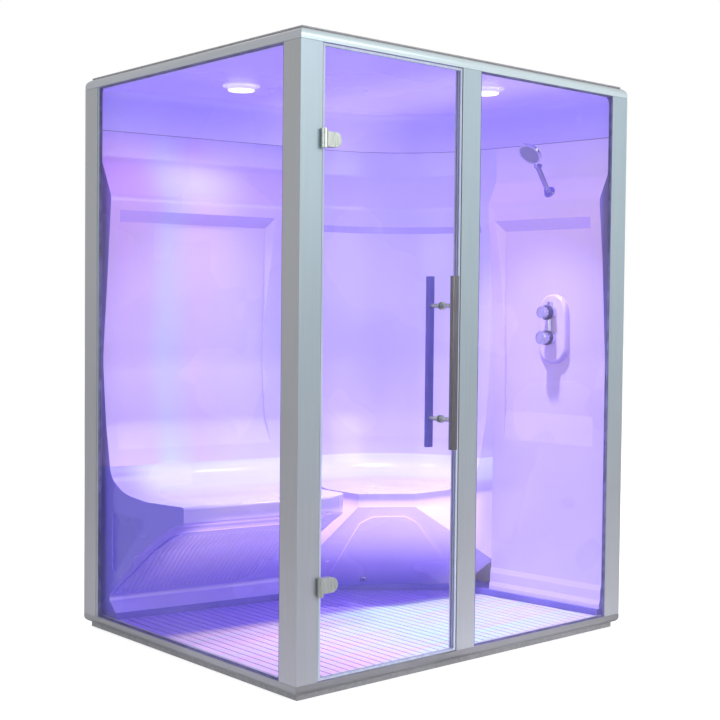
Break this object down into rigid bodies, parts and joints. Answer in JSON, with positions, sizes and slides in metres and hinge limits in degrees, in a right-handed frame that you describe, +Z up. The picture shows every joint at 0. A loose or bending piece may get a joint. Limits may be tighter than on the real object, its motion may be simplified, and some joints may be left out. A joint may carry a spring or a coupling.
{
  "type": "steam shower cabin",
  "caption": "Rectangular steam shower cabin with glazed front and side, hinged glass door, moulded walls and corner benches, slatted floor, tilting shower head and mixer valve.",
  "frame": {"origin": "on the floor, at the centre of the cabin's plan", "axes": "+Z up, the glazed front with the door faces -Y, the large side pane faces -X"},
  "size_m": [1.65, 1.41, 2.15],
  "materials": {
    "frame": "satin",
    "base": "satin",
    "clear_glass": "polished",
    "seal": "translucent",
    "steel": "brushed",
    "chrome": "polished",
    "grip_dark": "satin",
    "acrylic": "gloss",
    "tray": "satin",
    "deck": "satin",
    "cover_panel": "satin",
    "lens": "frosted",
    "housing": "satin",
    "nozzle": "satin",
    "pipe": "satin",
    "rubber_foot": "matte"
  },
  "bodies": {
    "cabin": {"near_post": "frame", "left_post": "frame", "right_post": "frame", "back_post": "frame", "mullion": "frame", "head_rail_front": "frame", "head_rail_right": "frame", "head_rail_back": "frame", "head_rail_left": "frame", "sill_rail_front": "frame", "sill_rail_right": "frame", "sill_rail_back": "frame", "sill_rail_left": "frame", "roof_cap": "base", "plinth": "base", "levelling_feet": "rubber_foot", "side_glass": "clear_glass", "side_glass_gasket": "seal", "side_glass_bead": "frame", "fixed_glass": "clear_glass", "fixed_glass_gasket": "seal", "door_stop": "seal", "hinge_leaves": "steel", "hinge_pins": "steel", "roof_dome": "acrylic", "back_wall": "acrylic", "corner_wall": "acrylic", "shower_wall": "acrylic", "back_bench": "acrylic", "corner_bench": "acrylic", "steam_outlet": "chrome", "steam_pipe": "pipe", "floor_tray": "tray", "floor_deck": "deck", "drain_body": "cover_panel", "drain_grate": "steel", "light_rings": "chrome", "light_lenses": "lens", "light_housings": "housing", "valve_body": "chrome", "valve_collars": "grip_dark", "supply_pipes": "pipe", "shower_flange": "chrome", "rear_panel": "cover_panel", "side_panel": "cover_panel", "panel_battens": "cover_panel"},
    "door": {"door_glass": "clear_glass", "door_seal": "seal", "hinge_clamps": "steel", "handle_outer_bar": "steel", "handle_inner_bar": "steel", "handle_standoffs": "steel"},
    "upper_knob": {"upper_knob": "chrome"},
    "lower_knob": {"lower_knob": "chrome"},
    "stop_button": {"stop_button": "chrome"},
    "shower_arm": {"shower_arm": "chrome", "tilt_knob": "chrome"},
    "shower_head": {"shower_head": "chrome", "shower_face": "nozzle"},
    "spray_ring": {"spray_ring": "chrome"}
  },
  "joints": [
    {"name": "door_hinge", "type": "hinge", "parent": "cabin", "child": "door", "pos_m": [-0.737, -0.687, 1.0815], "axis": [0, 0, -1], "range_deg": [0, 100]},
    {"name": "upper_knob_turn", "type": "hinge", "parent": "cabin", "child": "upper_knob", "pos_m": [0.666, -0.39, 1.257], "axis": [-1, 0, 0], "range_deg": [0, 90]},
    {"name": "lower_knob_turn", "type": "hinge", "parent": "cabin", "child": "lower_knob", "pos_m": [0.666, -0.39, 1.154], "axis": [-1, 0, 0], "range_deg": [-90, 90]},
    {"name": "stop_button_press", "type": "slide", "parent": "cabin", "child": "stop_button", "axis": [1, 0, 0], "range_m": [0, 0.002], "stiffness_N_per_m": 300, "springref_m": -0.001},
    {"name": "shower_arm_swivel", "type": "hinge", "parent": "cabin", "child": "shower_arm", "pos_m": [0.68646, -0.38777, 1.75342], "axis": [-0.8936, -0.1042, 0.4367], "range_deg": [-25, 25]},
    {"name": "shower_head_tilt", "type": "hinge", "parent": "shower_arm", "child": "shower_head", "pos_m": [0.6227, -0.38777, 1.8455], "axis": [0, 1, 0], "range_deg": [-20, 20]},
    {"name": "spray_ring_turn", "type": "hinge", "parent": "shower_head", "child": "spray_ring", "pos_m": [0.5732, -0.38777, 1.88652], "axis": [-0.7071, 0, -0.7071], "range_deg": [-30, 30]}
  ]
}
